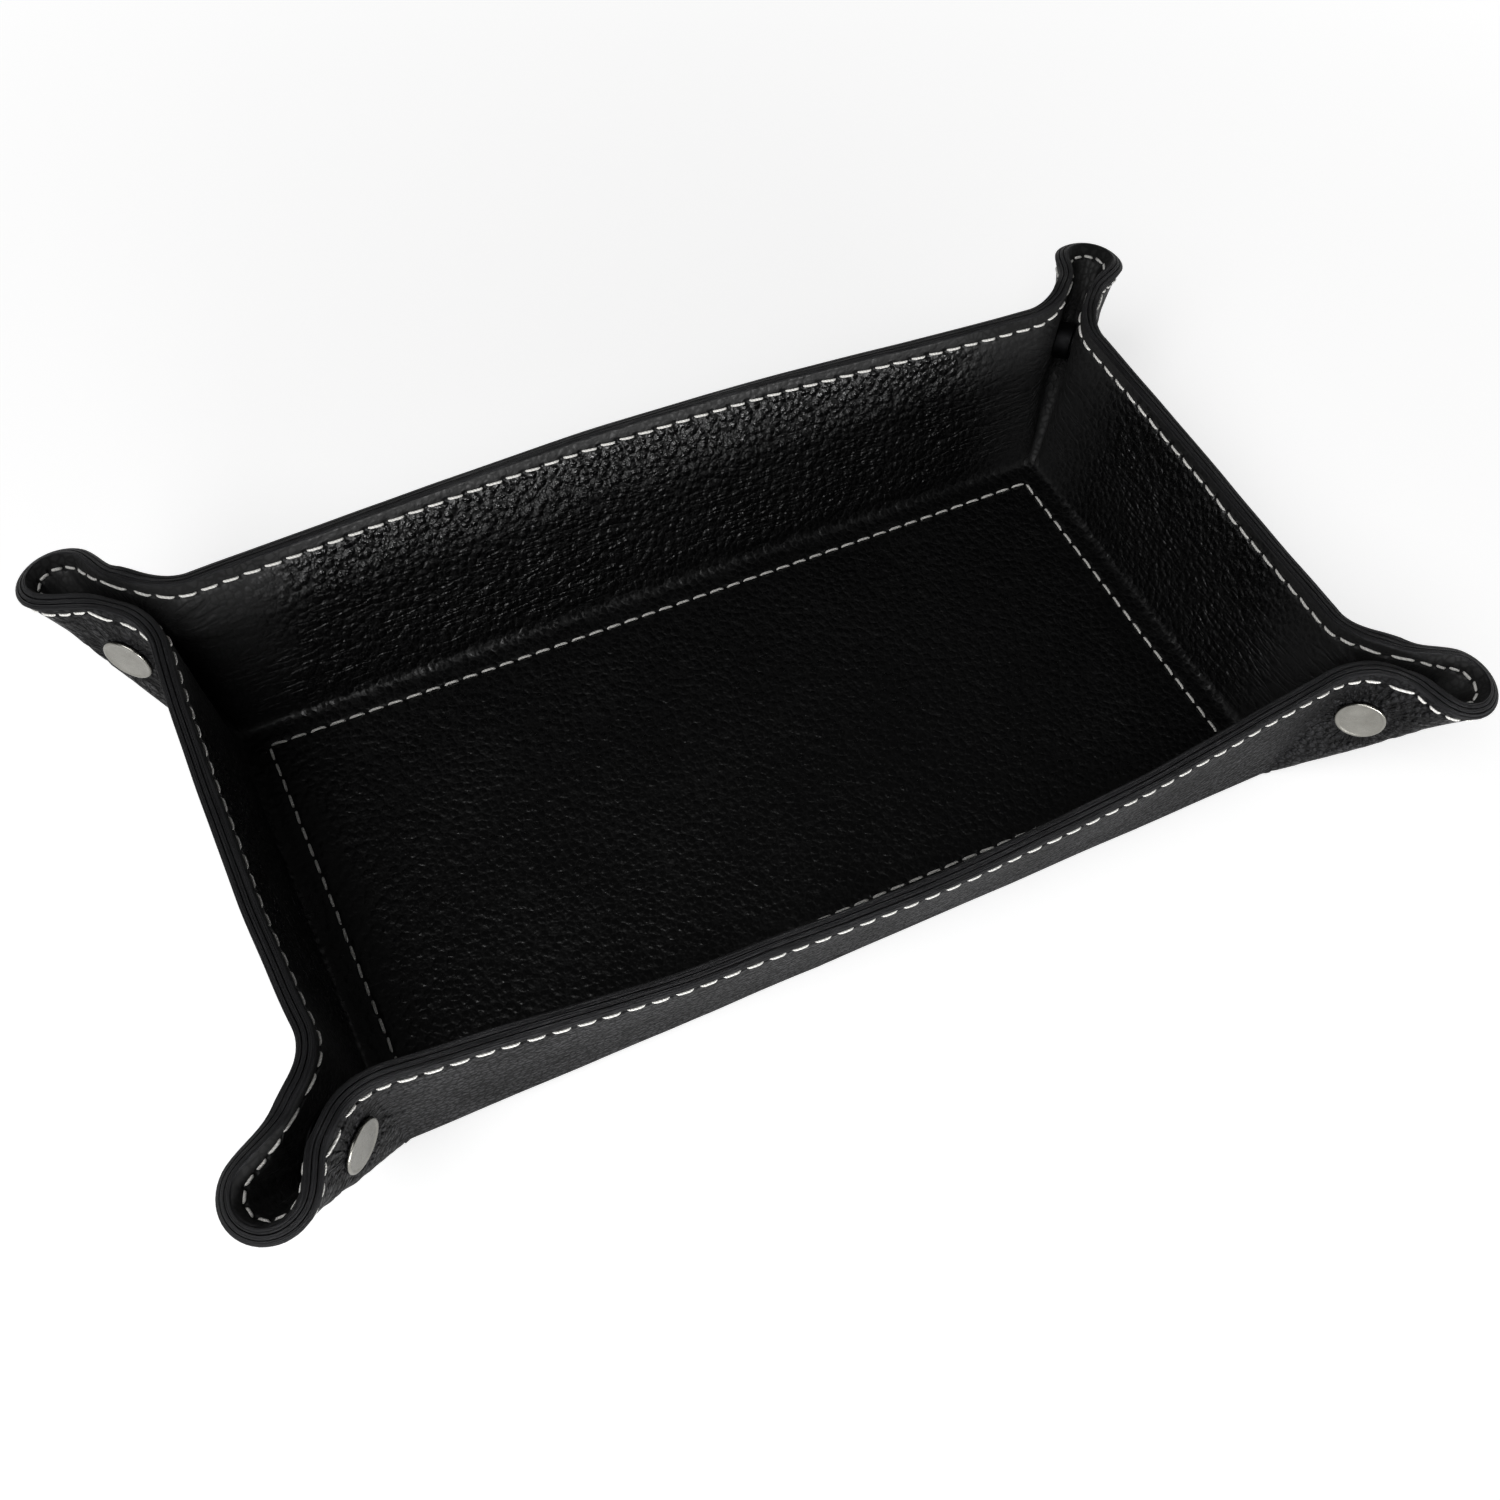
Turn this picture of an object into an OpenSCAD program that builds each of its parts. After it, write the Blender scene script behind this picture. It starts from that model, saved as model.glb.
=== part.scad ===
// Leather valet tray with snap corners.
// One rectangular sandwich of leather is folded up on all four sides, and each corner
// is pinched into an open ear that a snap fastener holds shut.
// The origin is on the underside at the centre, X runs along the length and Z points up.

/* [Base] */
// Length of the base between its two short folds
base_length = 211; // [170:1:300]
// Width of the base between its two long folds
base_width = 106; // [80:1:180]
// Width of the soft fold between the floor and a wall
fold_width = 4; // [3:0.5:5]
// Radius of the base corner in plan
base_corner_radius = 5.5; // [5:0.5:8]

/* [Leather] */
// Thickness of the outer leather
outer_leather_t = 1.2; // [0.8:0.1:1.5]
// Thickness of the stiffener between the two leathers
stiffener_t = 1; // [0.6:0.1:1.4]
// Thickness of the lining leather
lining_t = 1.2; // [0.8:0.1:1.5]

/* [Walls] */
// Height of the rim at the middle of each wall
rim_height = 43.5; // [34:0.5:50]
// How far the long wall leans out at the middle of its rim
long_wall_spread = 13.5; // [8:0.5:18]
// How far the long wall leans out where it meets the ear
long_wall_end_spread = 6; // [4:0.2:8]
// How far the short wall leans out at the middle of its rim
short_wall_spread = 6; // [4:0.5:12]
// How far the short wall leans out where it meets the ear
short_wall_end_spread = 4; // [3.6:0.2:7]

/* [Ears] */
// Reach of the ear tip from the base corner, along the diagonal
ear_reach = 33; // [28:1:38]
// Height of the rim at the pinched neck of the ear
neck_height = 46.5; // [38:0.5:54]
// Height of the rim at the tip of the ear
tip_height = 43.5; // [34:0.5:48]
// Open gap between the two linings at the neck
neck_gap = 4.8; // [4:0.1:5.5]
// Radius of the open loop at the ear tip, at the middle of the leather
tip_radius = 7.2; // [5.5:0.1:8]
// Radius of the bend between a wall and its ear at the rim
neck_bend_radius = 14; // [8:1:20]

/* [Snaps] */
// Diameter of the snap cap
cap_d = 10.5; // [9:0.5:12]
// Thickness of the snap cap
cap_t = 0.9; // [0.7:0.1:1.2]
// Distance of the snap from the base corner, along the diagonal
snap_reach = 10.3; // [9.5:0.1:12]
// Height of the snap centre, as a share of the neck's height
snap_height_share = 0.69; // [0.64:0.01:0.72]
// Diameter of the rivet post of a cap
post_d = 3; // [2.4:0.1:3.2]
// Diameter of the socket and of the stud's flange
socket_d = 8.6; // [8:0.1:9.5]
// Thickness of the stud's flange and of the socket's back
flange_t = 0.7; // [0.5:0.1:1]
// Diameter of the stud's ball
ball_d = 4.4; // [4.2:0.1:4.8]

/* [Stitching] */
// Diameter of the thread
thread_d = 0.7; // [0.5:0.1:1]
// Distance from one stitch to the next
stitch_pitch = 4.5; // [3.5:0.1:6]
// Distance of the rim seam from the edge
rim_seam_inset = 3; // [2.5:0.1:4]
// Distance of the floor seam from the base folds
floor_seam_inset = 7.5; // [7:0.5:12]

/* [Hidden] */
$fn = 64;

// Each corner's name and the signs of its X and Y
CORNERS = [
    ["front_left", -1, -1], ["front_right", 1, -1], ["back_left", -1, 1], ["back_right", 1, 1]
];

// Colours
black_leather = [0.07, 0.07, 0.08];
grey_board = [0.35, 0.33, 0.30];
white_thread = [0.88, 0.87, 0.82];
nickel = [0.72, 0.70, 0.66];

snap_height = snap_height_share * neck_height;

// Gap between pieces that lie on each other, room round a post in its hole, overrun of a cut
seat_gap = 0.05;
cap_gap = 0.1;
hole_room = 0.1;
overrun = 1;

// Whole thickness, and the offsets of the four faces from the middle of the sandwich
wall_t = outer_leather_t + stiffener_t + lining_t;
outer_face = wall_t / 2;
outer_joint = outer_face - outer_leather_t;
inner_joint = outer_joint - stiffener_t;
inner_face = -wall_t / 2;
floor_z = wall_t / 2;

// Steps along one quarter of the tray, from the middle of a wall to the ear tip
long_wall_steps = 5;
short_wall_steps = 3;
bend_steps = 3;
flare_steps = 2;
tip_steps = 5;
ear_steps = bend_steps + 1 + flare_steps + tip_steps;
quarter_steps = long_wall_steps + 2 * ear_steps + short_wall_steps;
around = 4 * quarter_steps;

// Heights of the rings on the wall, as shares of the way from the fold to the rim
fold_end_share = 0.09;
ring_shares = [fold_end_share, 0.22, 0.45, 0.68, 0.84, 1];
fold_step_shares = [1 / 3, 2 / 3];
ring_count = 2 + len(fold_step_shares) + len(ring_shares);
rim_ring = ring_count - 1;

// The middle surface of the ear: half gaps at the rim and near the base corner
half_gap = neck_gap / 2 + wall_t / 2;
low_half_gap = wall_t / 2 + neck_gap / 6;
gap_full_share = 0.45;
flare_angle = 10;
wall_end_turn = 6;
short_end_turn = 4.5;
straight_low_share = 0.85;
straight_rim_share = 0.3;
bend_rise_share = 0.6;
ridge_start = base_corner_radius * (1 - sqrt(2));

function mix(a, b, t) = a + (b - a) * t;
function unit(v) = v / norm(v);
function heading(a) = [cos(a), sin(a)];
function swap(p) = [p[1], p[0], p[2]];
function ease(t) = (1 - cos(180 * t)) / 2;

function bezier(a, b, c, d, t) =
    a * pow(1 - t, 3) + b * 3 * t * pow(1 - t, 2) + c * 3 * t * t * (1 - t) + d * pow(t, 3);

// Place in plan of a point given along and across the diagonal through a base corner
function on_diagonal(corner, along, across) =
    corner + along * [1, 1] / sqrt(2) + across * [-1, 1] / sqrt(2);

// One eighth of the tray at share v of the wall height, in plan: from the middle of a wall
// that runs along X, round the bend at the neck and along the ear to its tip
function section(v, corner, mid_spread, end_spread, end_turn, steps) =
    let (
        gap = mix(low_half_gap, half_gap, min(1, v / gap_full_share)),
        opening = pow(v, 8),
        loop = gap + (tip_radius - half_gap) * opening,
        bend = mix(gap, neck_bend_radius, pow(v, 3)),
        fold_at = on_diagonal(corner, sqrt(2) * end_spread * v - gap, gap),
        turn = -end_turn * v,
        tangent = bend * tan((45 - turn) / 2),
        wall_end = fold_at - heading(turn) * tangent,
        bend_centre = wall_end + bend * heading(turn + 90),
        wall_mid = [0, corner[1] + mid_spread * v],
        handle = wall_end[0] / 3,
        straight_from = sqrt(2) * end_spread * v - gap + tangent,
        loop_centre = mix(ridge_start, ear_reach, v) - loop,
        flare = flare_angle * pow(v, 4),
        loop_from = [loop_centre - loop * sin(flare), loop * cos(flare)],
        straight_share = mix(straight_low_share, straight_rim_share, opening),
        straight_to = mix(straight_from, loop_from[0], straight_share),
        pull = (loop_from[0] - straight_to) / 3
    )
    concat(
        [for (i = [0 : steps])
            bezier(wall_mid, wall_mid + [handle, 0],
                   wall_end - heading(turn) * handle, wall_end, i / steps)],
        [for (i = [1 : bend_steps])
            bend_centre + bend * heading(mix(turn, 45, i / bend_steps) - 90)],
        [on_diagonal(corner, straight_to, gap)],
        [for (i = [1 : flare_steps])
            let (p = bezier([straight_to, gap], [straight_to + pull, gap],
                            loop_from - pull * heading(flare), loop_from, i / flare_steps))
            on_diagonal(corner, p[0], p[1])],
        [for (i = [1 : tip_steps])
            let (a = (90 + flare) * (1 - i / tip_steps))
            on_diagonal(corner, loop_centre + loop * cos(a), loop * sin(a))]
    );

// Height of the rim where the bend to the neck begins
bend_height = mix(rim_height, neck_height, bend_rise_share);

// Height of the rim along the same eighth, at the middle of the leather
function rim_z(i, steps) =
    i <= steps ? mix(rim_height, bend_height, pow(i / steps, 3)) :
    i <= steps + bend_steps ? mix(bend_height, neck_height, ease((i - steps) / bend_steps)) :
    mix(neck_height, tip_height, ease((i - steps - bend_steps) / (ear_steps - bend_steps)));

function raised(points, v, steps) =
    [for (i = [0 : len(points) - 1]) concat(points[i], [mix(floor_z, rim_z(i, steps), v)])];

// Rounded rectangle in plan with the same steps, lying in the middle of the floor
function flat_eighth(corner, inset, r, steps) =
    let (c = corner - (inset + r) * [1, 1])
    concat(
        [for (i = [0 : steps]) [c[0] * i / steps, corner[1] - inset, floor_z]],
        [for (i = [1 : ear_steps])
            concat(c + r * heading(90 - 45 * i / ear_steps), [floor_z])]
    );

long_corner = [base_length, base_width] / 2;
short_corner = [base_width, base_length] / 2;

// Two eighths make the quarter from the middle of the +Y wall to the middle of the +X wall
function join_quarter(a, b) =
    concat(a, [for (i = [len(b) - 2 : -1 : 0]) swap(b[i])]);

function flat_quarter(inset, r) =
    join_quarter(flat_eighth(long_corner, inset, r, long_wall_steps),
                 flat_eighth(short_corner, inset, r, short_wall_steps));

function wall_quarter(v) =
    join_quarter(
        raised(section(v, long_corner, long_wall_spread, long_wall_end_spread,
                       wall_end_turn, long_wall_steps), v, long_wall_steps),
        raised(section(v, short_corner, short_wall_spread, short_wall_end_spread,
                       short_end_turn, short_wall_steps), v, short_wall_steps));

// Four mirrored quarters make a closed ring
function ring(q) =
    let (n = len(q) - 1)
    concat(
        [for (i = [0 : n - 1]) q[i]],
        [for (i = [n : -1 : 1]) [q[i][0], -q[i][1], q[i][2]]],
        [for (i = [0 : n - 1]) [-q[i][0], -q[i][1], q[i][2]]],
        [for (i = [n : -1 : 1]) [-q[i][0], q[i][1], q[i][2]]]
    );

// The stiffener ends just outside the floor seam, and the base board just inside it
seam_margin = 1;
stiffener_inset = floor_seam_inset - seam_margin;
board_inset = floor_seam_inset + seam_margin;
board_corner_radius = base_corner_radius / 2;

stiffener_edge = flat_quarter(stiffener_inset, base_corner_radius / 4);
floor_edge = flat_quarter(fold_width, base_corner_radius - fold_width);
fold_line = flat_quarter(0, base_corner_radius);
fold_end = wall_quarter(fold_end_share);

function fold_ring(t) =
    [for (i = [0 : quarter_steps])
        floor_edge[i] * pow(1 - t, 2) + fold_line[i] * 2 * t * (1 - t) + fold_end[i] * t * t];

// The middle surface of the sandwich, ring by ring from the stiffener's inner edge to the rim
middle = concat(
    [ring(stiffener_edge), ring(floor_edge)],
    [for (t = fold_step_shares) ring(fold_ring(t))],
    [for (v = ring_shares) ring(wall_quarter(v))]
);

function outward(j, i) =
    j <= 1 ? [0, 0, -1] :
    let (
        along = middle[j][(i + 1) % around] - middle[j][(i + around - 1) % around],
        up = middle[min(j + 1, rim_ring)][i] - middle[j - 1][i]
    )
    unit(cross(up, along));

normals = [for (j = [0 : rim_ring]) [for (i = [0 : around - 1]) outward(j, i)]];

// A face of the sandwich, at a distance outward from its middle
function face_ring(j, distance) =
    [for (i = [0 : around - 1]) middle[j][i] + distance * normals[j][i]];

function face_points(distance, first) =
    [for (j = [first : rim_ring]) each face_ring(j, distance)];

// Triangles of the band between the rows of points that start at a and at b. Both ways round
// share one diagonal, so that sheets with the same points meet without a gap or an overlap.
function band(a, b, turned = false) =
    [for (i = [0 : around - 1])
        let (k = (i + 1) % around)
        each turned ?
            [[a + k, a + i, b + k], [b + k, a + i, b + i]] :
            [[a + i, a + k, b + k], [a + i, b + k, b + i]]];

// Triangles from the row of points that starts at a to the point c in its middle
function fan(a, c, up) =
    [for (i = [0 : around - 1])
        let (k = (i + 1) % around)
        up ? [a + i, a + k, c] : [a + k, a + i, c]];

// One sheet of the tray between two faces, closed at the rim. It starts at ring first,
// and either spans the floor or ends there as a frame.
module sheet(outside, inside, first, spans_floor) {
    rows = ring_count - first;
    size = rows * around;
    rim = (rows - 1) * around;
    polyhedron(
        points = concat(face_points(outside, first), face_points(inside, first),
                        spans_floor ? [[0, 0, floor_z - outside], [0, 0, floor_z - inside]] : []),
        faces = concat(
            [for (j = [0 : rows - 2]) each band(j * around, (j + 1) * around)],
            [for (j = [0 : rows - 2]) each band(size + j * around, size + (j + 1) * around, true)],
            band(rim, size + rim),
            spans_floor ? concat(fan(0, 2 * size, false), fan(size, 2 * size + 1, true)) : band(size, 0)
        )
    );
}

// A place at each corner of the tray: the origin on the ear's diagonal plane at the snap,
// with Z pointing out through the long wall's side of the neck
module at_snap(corner) {
    mirror([corner[1] < 0 ? 1 : 0, 0, 0])
        mirror([0, corner[2] < 0 ? 1 : 0, 0])
            translate(concat(on_diagonal(long_corner, snap_reach, 0), [snap_height]))
                rotate([-90, 0, 45])
                    children();
}

// The same place with Z pointing out through the short wall's side
module at_stud(corner) {
    at_snap(corner)
        rotate([180, 0, 0])
            children();
}

// Distances of the neck's two faces from the diagonal plane
neck_outside = half_gap + outer_face;
neck_inside = half_gap + inner_face;

// Holes for the eight rivet posts
module post_holes() {
    for (corner = CORNERS)
        at_snap(corner)
            cylinder(h = 2 * (neck_outside + overrun), d = post_d + 2 * hole_room, center = true);
}

// Groove that lets the floor thread lie flush in the underside
groove_depth = thread_d + seat_gap;
groove_width = 2 * thread_d;

module seam_groove() {
    seam = [base_length, base_width] - 2 * floor_seam_inset * [1, 1];
    translate([0, 0, -overrun])
        linear_extrude(height = groove_depth + overrun)
            difference() {
                square(seam + groove_width * [1, 1], center = true);
                square(seam - groove_width * [1, 1], center = true);
            }
}

module outer_leather() {
    color(black_leather)
        difference() {
            sheet(outer_face, outer_joint, 1, true);
            post_holes();
            seam_groove();
        }
}

module wall_stiffener() {
    color(grey_board)
        difference() {
            sheet(outer_joint, inner_joint, 0, false);
            post_holes();
        }
}

module lining() {
    color(black_leather)
        difference() {
            sheet(inner_joint, inner_face, 1, true);
            post_holes();
        }
}

module base_board() {
    size = [base_length, base_width] - 2 * board_inset * [1, 1];
    r = board_corner_radius;
    color(grey_board)
        translate([0, 0, outer_leather_t])
            linear_extrude(height = stiffener_t)
                union() {
                    square(size - [2 * r, 0], center = true);
                    square(size - [0, 2 * r], center = true);
                    for (x = [-1, 1], y = [-1, 1])
                        translate([x * (size[0] / 2 - r), y * (size[1] / 2 - r)])
                            circle(r);
                }
}

// Length of a stitch, as a share of the pitch
stitch_share = 0.74;

// A straight stitch between two points, moved by a lift
module stitch(from, to, lift) {
    d = to - from;
    translate(from + lift)
        rotate([0, acos(d[2] / norm(d)), atan2(d[1], d[0])])
            cylinder(h = norm(d), d = thread_d, $fn = 16);
}

// Rim seam: a closed line at a distance outward from the middle of the sandwich
function seam_line(distance) =
    let (top = face_ring(rim_ring, distance), low = face_ring(rim_ring - 1, distance))
    [for (i = [0 : around]) let (k = i % around) top[k] + rim_seam_inset * unit(low[k] - top[k])];

// Running length at each point of a line
function lengths(line, i = 0, sum = 0) =
    i == len(line) - 1 ? [sum] :
    concat([sum], lengths(line, i + 1, sum + norm(line[i + 1] - line[i])));

seam_middle = seam_line(0);
seam_lengths = lengths(seam_middle);
seam_length = seam_lengths[around];
rim_stitches = round(seam_length / stitch_pitch);

// Index of the last point of the seam that lies before a running length
function seam_index(s, low = 0, high = around) =
    high - low <= 1 ? low :
    let (half = floor((low + high) / 2))
    seam_lengths[half] <= s ? seam_index(s, half, high) : seam_index(s, low, half);

function seam_point(line, s) =
    let (i = seam_index(s), t = (s - seam_lengths[i]) / (seam_lengths[i + 1] - seam_lengths[i]))
    mix(line[i], line[i + 1], t);

// Where the leather bulges below a straight stitch, the stitch is lifted by the bulge
module rim_thread(distance) {
    line = seam_line(distance);
    step = seam_length / rim_stitches;
    color(white_thread)
        for (k = [0 : rim_stitches - 1]) {
            from = seam_point(line, (k + (1 - stitch_share) / 2) * step);
            to = seam_point(line, (k + (1 + stitch_share) / 2) * step);
            half_way = seam_point(line, (k + 0.5) * step);
            away = half_way - seam_point(seam_middle, (k + 0.5) * step);
            bulge = half_way - (from + to) / 2;
            stitch(from, to, bulge * away > 0 ? bulge : 0 * bulge);
        }
}

// Distance of a thread's middle from the face that it lies on
thread_rise = thread_d / 2 + 2 * seat_gap;

module rim_thread_outside() {
    rim_thread(outer_face + thread_rise);
}

module rim_thread_inside() {
    rim_thread(inner_face - thread_rise);
}

// One side of the floor seam, centred on the X axis at the height z
module seam_side(length, z) {
    count = round(length / stitch_pitch);
    step = length / count;
    for (k = [0 : count - 1])
        translate([(k + 0.5) * step - length / 2, 0, z])
            rotate([0, 90, 0])
                cylinder(h = stitch_share * step, d = thread_d, center = true, $fn = 16);
}

module floor_thread(z) {
    seam = [base_length, base_width] - 2 * floor_seam_inset * [1, 1];
    color(white_thread)
        for (side = [-1, 1]) {
            translate([0, side * seam[1] / 2, 0])
                seam_side(seam[0], z);
            translate([side * seam[0] / 2, 0, 0])
                rotate([0, 0, 90])
                    seam_side(seam[1], z);
        }
}

module floor_thread_top() {
    floor_thread(wall_t + thread_rise - seat_gap);
}

module floor_thread_under() {
    floor_thread(thread_d / 2);
}

// The quarter rounds at the edges, as shares of the cap, of the flange and of the ball's height
cap_edge_share = 0.6;
flange_edge_share = 0.4;
ball_edge_share = 0.25;

// Half section of a disc with a rounded top edge
module round_edged(radius, height, edge) {
    square([radius - edge, height]);
    square([radius, height - edge]);
    translate([radius - edge, height - edge])
        intersection() {
            circle(edge);
            square(edge);
        }
}

// A cap on the outside of the neck with its rivet post, which reaches through the leather
// and on through the back of the piece inside
module cap_and_post(post_end) {
    base = neck_outside + cap_gap;
    color(nickel)
        rotate_extrude() {
            translate([0, base])
                round_edged(cap_d / 2, cap_t, cap_t * cap_edge_share);
            translate([0, post_end])
                square([post_d / 2, base - post_end + cap_t / 2]);
        }
}

// The stud's flange lies on the lining, and its ball fills most of the socket's mouth
flange_top = neck_inside - seat_gap - flange_t;
socket_face = -flange_top + 2 * seat_gap;
socket_back = neck_inside - seat_gap;
socket_mouth_d = ball_d + 4 * hole_room;
mouth_depth = socket_back - flange_t - socket_face;
ball_height = mouth_depth - 2 * hole_room;
stud_wall = (ball_d - post_d) / 2 - hole_room;

module snap_socket(corner) {
    color(nickel)
        at_snap(corner)
            difference() {
                translate([0, 0, socket_back])
                    mirror([0, 0, 1])
                        rotate_extrude()
                            round_edged(socket_d / 2, socket_back - socket_face,
                                        flange_t * flange_edge_share);
                translate([0, 0, socket_face - overrun])
                    cylinder(h = mouth_depth + overrun, d = socket_mouth_d);
                cylinder(h = socket_back + overrun, d = post_d + 2 * hole_room);
            }
}

module snap_stud(corner) {
    base = neck_inside - seat_gap;
    color(nickel)
        at_stud(corner)
            difference() {
                translate([0, 0, base])
                    mirror([0, 0, 1])
                        rotate_extrude() {
                            round_edged(socket_d / 2, flange_t, flange_t * flange_edge_share);
                            round_edged(ball_d / 2, flange_t + ball_height,
                                        ball_height * ball_edge_share);
                        }
                translate([0, 0, flange_top - ball_height + stud_wall])
                    cylinder(h = ball_height + flange_t + overrun, d = post_d + 2 * hole_room);
            }
}

module snap_cap(corner) {
    at_snap(corner)
        cap_and_post(socket_back - flange_t);
}

module stud_cap(corner) {
    at_stud(corner)
        cap_and_post(flange_top - ball_height + stud_wall + hole_room);
}

outer_leather();
wall_stiffener();
base_board();
lining();
rim_thread_outside();
rim_thread_inside();
floor_thread_top();
floor_thread_under();
for (corner = CORNERS) {
    snap_cap(corner);
    snap_socket(corner);
    snap_stud(corner);
    stud_cap(corner);
}
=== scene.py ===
# %% [markdown]
# # A leather valet tray with snap corners
# The tray is one flat sandwich of leather, folded up on all four sides. Each corner is pinched into
# an ear that opens in a loop at its tip, and a snap fastener holds the pinch shut.
#
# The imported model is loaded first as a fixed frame. It says where everything is and how large it
# is, in metres, and the pieces made below take the place of its plain solids one by one.

# %% Load the frame
import math

import bmesh
import bpy
import numpy as np
from mathutils import Matrix, Vector, noise


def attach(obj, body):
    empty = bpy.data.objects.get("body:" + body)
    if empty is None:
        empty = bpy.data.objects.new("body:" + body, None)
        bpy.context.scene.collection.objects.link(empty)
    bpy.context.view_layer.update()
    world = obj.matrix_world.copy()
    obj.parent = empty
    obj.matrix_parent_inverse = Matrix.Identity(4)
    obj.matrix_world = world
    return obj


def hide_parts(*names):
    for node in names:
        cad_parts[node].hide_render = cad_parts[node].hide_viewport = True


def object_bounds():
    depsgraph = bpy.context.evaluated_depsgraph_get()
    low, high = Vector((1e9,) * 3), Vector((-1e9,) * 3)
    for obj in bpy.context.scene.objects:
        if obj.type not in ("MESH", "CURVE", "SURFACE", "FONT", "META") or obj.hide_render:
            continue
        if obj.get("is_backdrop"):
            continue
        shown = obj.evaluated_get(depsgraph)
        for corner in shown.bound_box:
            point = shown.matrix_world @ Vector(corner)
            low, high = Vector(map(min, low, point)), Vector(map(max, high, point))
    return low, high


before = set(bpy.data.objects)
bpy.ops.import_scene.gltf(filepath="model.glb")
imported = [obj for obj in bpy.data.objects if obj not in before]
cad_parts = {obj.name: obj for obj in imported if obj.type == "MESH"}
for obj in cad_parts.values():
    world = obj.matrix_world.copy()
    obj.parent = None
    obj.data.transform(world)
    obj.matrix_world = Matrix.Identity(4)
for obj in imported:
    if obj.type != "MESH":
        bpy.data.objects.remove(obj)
frame_box = [list(corner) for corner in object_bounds()]
print("solids in the frame:", len(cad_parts))

# %% [markdown]
# ## The camera
# A camera is a point, a direction and a focal length. Where the photographer held it a little
# askew, it also has a roll, and a picture cut from a larger one has a shift. These values were
# found by laying the tray's seams over the photograph until they agreed.

# %% Place the camera
MM = 0.001
camera_place = Vector((-96.64, -180.42, 291.99)) * MM
camera_turn = math.radians(-31.693)
camera_height = math.radians(58.512)
camera_roll = math.radians(5.638)
focal_pixels = 1566.92
centre_offset = (53.49, 106.08)
picture_side = 1500

backward = Vector((math.sin(camera_turn) * math.cos(camera_height),
                   -math.cos(camera_turn) * math.cos(camera_height),
                   math.sin(camera_height)))
level_right = (-backward).cross(Vector((0, 0, 1))).normalized()
level_up = level_right.cross(-backward)
right = level_right * math.cos(camera_roll) + level_up * math.sin(camera_roll)
up = level_up * math.cos(camera_roll) - level_right * math.sin(camera_roll)

camera_data = bpy.data.cameras.new("camera")
camera_data.sensor_width = 36
camera_data.lens = focal_pixels * camera_data.sensor_width / picture_side
camera_data.shift_x = -centre_offset[0] / picture_side
camera_data.shift_y = centre_offset[1] / picture_side
camera_data.clip_start = 0.01
camera = bpy.data.objects.new("camera", camera_data)
camera.matrix_world = Matrix.Translation(camera_place) @ Matrix(
    (right, up, backward)).transposed().to_4x4()
bpy.context.scene.collection.objects.link(camera)
bpy.context.scene.camera = camera
print("lens", round(camera_data.lens, 1), "mm")

# %% [markdown]
# ## The sizes
# The same sizes shape the solids of the frame, in millimetres. They are written again here,
# because a scene reads nothing but the frame. Only the thread is drawn a little thinner, as it
# looks where it is pulled tight.

# %% Sizes of the tray
base = np.array([211, 106]) / 2
fold_width, base_corner_radius = 4, 5.5
outer_leather_t, stiffener_t, lining_t = 1.2, 1, 1.2
wall_t = outer_leather_t + stiffener_t + lining_t
rim_height, neck_height, tip_height = 43.5, 46.5, 43.5
long_spread, long_end_spread, long_end_turn = 13.5, 6, 6
short_spread, short_end_spread, short_end_turn = 6, 4, 4.5
ear_reach, neck_gap, tip_radius, neck_bend_radius = 33, 4.8, 7.2, 14
flare_angle = 10
snap_reach, snap_height = 10.3, 0.69 * neck_height
stitch_pitch, stitch_share, thread_d = 4.5, 0.82, 0.62
rim_seam_inset, floor_seam_inset = 3, 7.5
half_gap = (neck_gap + wall_t) / 2
low_half_gap = wall_t / 2 + neck_gap / 6
outer_face, inner_face = wall_t / 2, -wall_t / 2
print("ply sandwich", wall_t, "mm thick")

# %% [markdown]
# ## How the sheet is folded
# One eighth of a wall, seen from above, is a long flat curve, a bend at the neck, a straight run
# where the snap sits, and half of a loop. How far up the wall we are, from 0 at the fold to 1 at
# the rim, opens the bend and the loop. A table would do as well, but a rule keeps every height
# smooth and needs only the sizes above.


# %% One eighth of the tray in plan
def mix(a, b, t):
    return a + (b - a) * t


def heading(degrees):
    return np.array([math.cos(math.radians(degrees)), math.sin(math.radians(degrees))])


def bezier(a, b, c, d, t):
    return a * (1 - t) ** 3 + b * 3 * t * (1 - t) ** 2 + c * 3 * t * t * (1 - t) + d * t ** 3


def on_diagonal(corner, along, across):
    return corner + (along * np.array([1, 1]) + across * np.array([-1, 1])) / math.sqrt(2)


gap_share = 0.45
straight_share_low, straight_share_rim = 0.85, 0.3
long_steps, short_steps = 46, 24
bend_steps, straight_steps, flare_steps, tip_steps = 10, 6, 8, 14
ear_steps = bend_steps + straight_steps + flare_steps + tip_steps


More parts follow.
